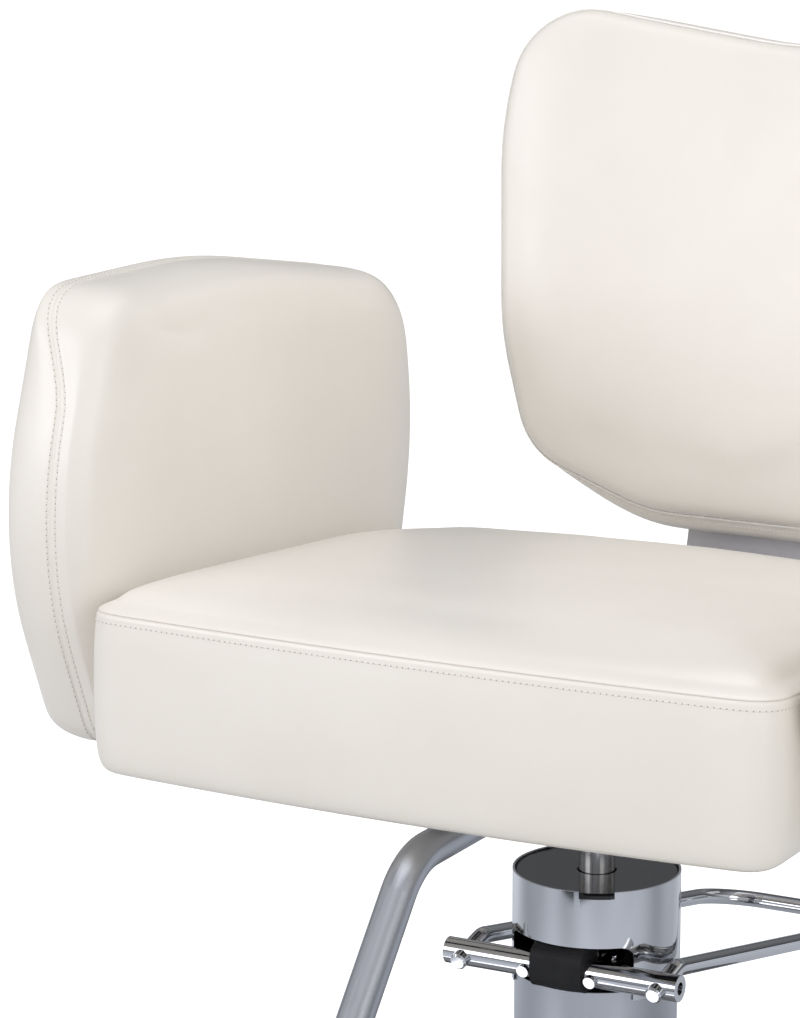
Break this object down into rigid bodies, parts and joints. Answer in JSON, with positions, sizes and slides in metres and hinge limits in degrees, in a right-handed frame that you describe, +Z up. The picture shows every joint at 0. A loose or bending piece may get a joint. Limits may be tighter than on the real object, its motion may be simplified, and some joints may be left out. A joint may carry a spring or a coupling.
{
  "type": "styling chair",
  "caption": "Upholstered salon styling chair with padded arms and a reclined back, on a round floor base with a foot-pumped hydraulic column, swivel and footrest.",
  "frame": {"origin": "on the floor, on the column's axis, at the middle of the base's flat underside", "axes": "+Z up; the sitter looks along -Y; +X is the sitter's left"},
  "size_m": [0.664, 0.8798, 0.8179],
  "materials": {
    "cast_iron": "rough casting",
    "chrome": "mirror polished",
    "satin_steel": "satin",
    "machined_steel": "turned and ground",
    "rubber": "matte",
    "zinc_fixings": "zinc plated",
    "dark_steel": "satin black coating",
    "brass": "turned",
    "gloss_black": "gloss",
    "black_block": "matte",
    "ivory_vinyl": "vinyl-coated upholstery cloth over foam, pearl sheen, fine grain",
    "plywood": "raw board",
    "grey_paint": "smooth semi-gloss paint"
  },
  "bodies": {
    "base": {"base_weight": "cast_iron", "base_shell": "chrome", "base_trim": "rubber", "base_bolts": "zinc_fixings", "pump_flange": "dark_steel", "oil_tank": "dark_steel", "pump_head": "cast_iron", "pump_sleeve": "machined_steel", "pump_barrel": "machined_steel", "ram_bush": "brass", "column_collar": "chrome", "lower_cover": "satin_steel", "upper_cover": "chrome", "cover_plate": "gloss_black", "bearing_bracket": "dark_steel", "bearing_block": "black_block", "bracket_screws": "zinc_fixings", "plunger_spring": "zinc_fixings"},
    "pedal": {"crossbar": "chrome", "pedal_loop": "chrome", "rocker_yoke": "chrome"},
    "plunger": {"plunger": "machined_steel"},
    "lift": {"ram_rod": "machined_steel", "ram_piston": "machined_steel", "piston_ring": "rubber", "thrust_washer": "brass"},
    "seat": {"swivel_hub": "dark_steel", "hub_ribs": "dark_steel", "seat_plate": "dark_steel", "seat_bolts": "zinc_fixings", "seat_board": "plywood", "seat_cushion": "ivory_vinyl", "arm_brackets_left": "dark_steel", "arm_brackets_right": "dark_steel", "arm_bolts_left": "zinc_fixings", "arm_bolts_right": "zinc_fixings", "arm_core_left": "plywood", "arm_core_right": "plywood", "arm_pad_left": "ivory_vinyl", "arm_pad_right": "ivory_vinyl", "back_spine": "grey_paint", "back_bolts": "zinc_fixings", "back_board": "plywood", "back_cushion": "ivory_vinyl", "back_cover": "ivory_vinyl", "footrest_tube": "satin_steel", "footrest_stay": "satin_steel", "stay_screws": "zinc_fixings", "footrest_bar": "satin_steel", "footrest_grip_left": "rubber", "footrest_grip_right": "rubber", "footrest_caps": "rubber"}
  },
  "joints": [
    {"name": "pedal_pivot", "type": "hinge", "parent": "base", "child": "pedal", "pos_m": [0, -0.054, 0.1854], "axis": [-1, 0, 0], "range_deg": [0, 10], "stiffness_Nm_per_rad": 15, "springref_deg": -14.32},
    {"name": "plunger_slide", "type": "slide", "parent": "base", "child": "plunger", "axis": [0, 0, -1], "range_m": [0, 0.0046], "deforming": ["plunger_spring"]},
    {"name": "ram_lift", "type": "slide", "parent": "base", "child": "lift", "axis": [0, 0, 1], "range_m": [0, 0.15]},
    {"name": "seat_swivel", "type": "hinge", "parent": "lift", "child": "seat", "pos_m": [0, 0, 0.3], "axis": [0, 0, 1], "continuous": true}
  ],
  "couplings": [
    {"joint": "plunger_slide", "follows": "pedal_pivot", "m_per_rad": 0.0254}
  ]
}
